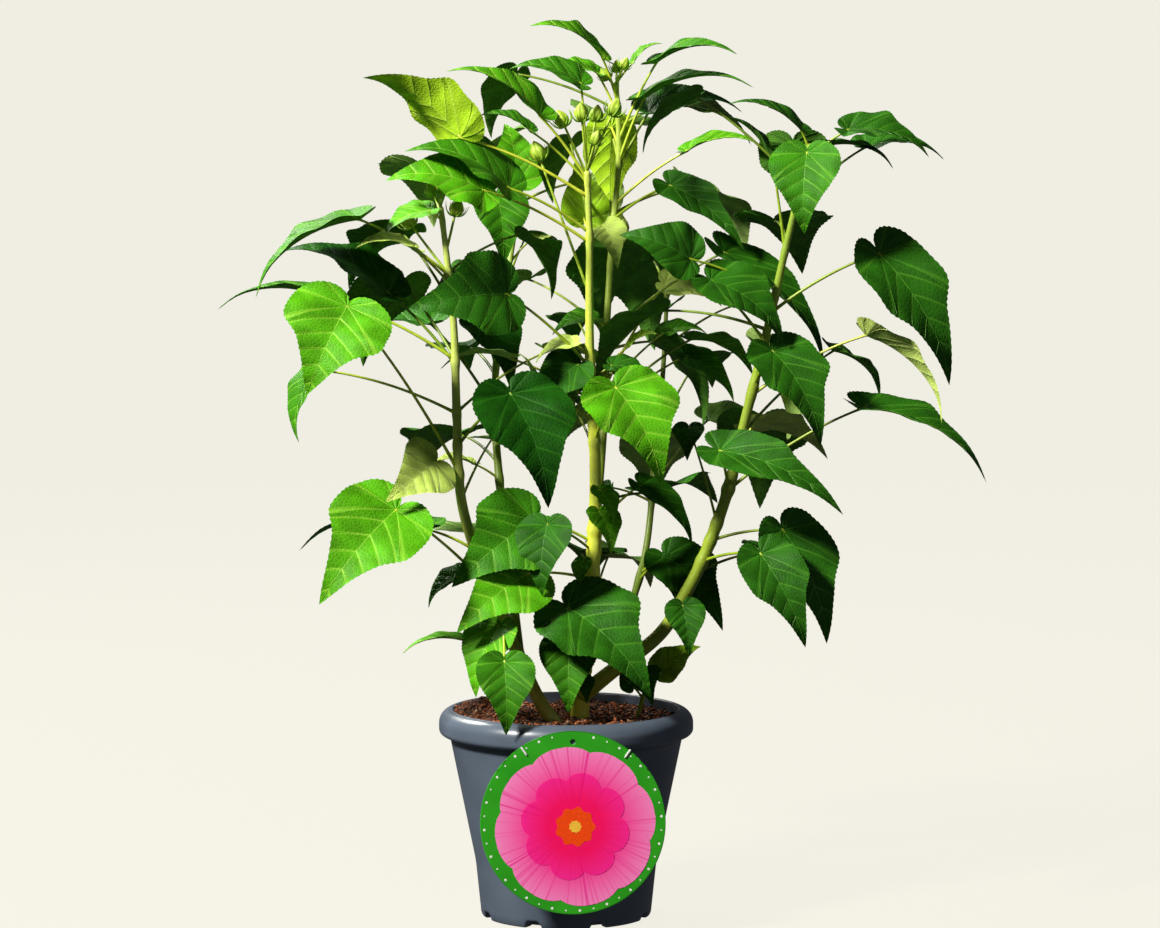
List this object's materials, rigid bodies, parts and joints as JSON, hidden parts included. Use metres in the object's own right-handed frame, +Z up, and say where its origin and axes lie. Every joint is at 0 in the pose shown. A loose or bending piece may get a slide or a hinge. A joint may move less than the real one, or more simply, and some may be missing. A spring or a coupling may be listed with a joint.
{
  "type": "potted hibiscus shrub",
  "caption": "Young hibiscus shrub with upright canes and lobed heart-shaped leaves, in a round nursery pot with a round hanging label card.",
  "frame": {"origin": "centre of the pot's flat underside", "axes": "+Z up, -Y the side that the label hangs on, +X to the right seen from the label's side"},
  "size_m": [0.6541, 0.4394, 0.7741],
  "materials": {
    "pot_plastic": "satin, moulded",
    "compost": "coarse bark chips",
    "label_card": "printed gloss",
    "label_tie": "satin",
    "cane_bark": "smooth green bark",
    "foliage": "satin leaves"
  },
  "bodies": {
    "root": {"pot": "pot_plastic", "compost": "compost", "label": "label_card", "label_tie_left": "label_tie", "label_tie_right": "label_tie", "cane_centre": "cane_bark", "cane_left": "cane_bark", "cane_right": "cane_bark", "cane_centre_back": "cane_bark", "cane_left_back": "cane_bark", "cane_right_back": "cane_bark", "cane_low_shoot": "cane_bark", "leaves_centre_low": "foliage", "leaves_centre_middle": "foliage", "leaves_centre_top": "foliage", "leaves_left_low": "foliage", "leaves_left_middle": "foliage", "leaves_left_top": "foliage", "leaves_right_low": "foliage", "leaves_right_middle": "foliage", "leaves_right_top": "foliage", "leaves_centre_back_low": "foliage", "leaves_centre_back_top": "foliage", "leaves_left_back_low": "foliage", "leaves_left_back_top": "foliage", "leaves_right_back_low": "foliage", "leaves_right_back_top": "foliage", "leaves_low_shoot": "foliage"}
  },
  "joints": []
}
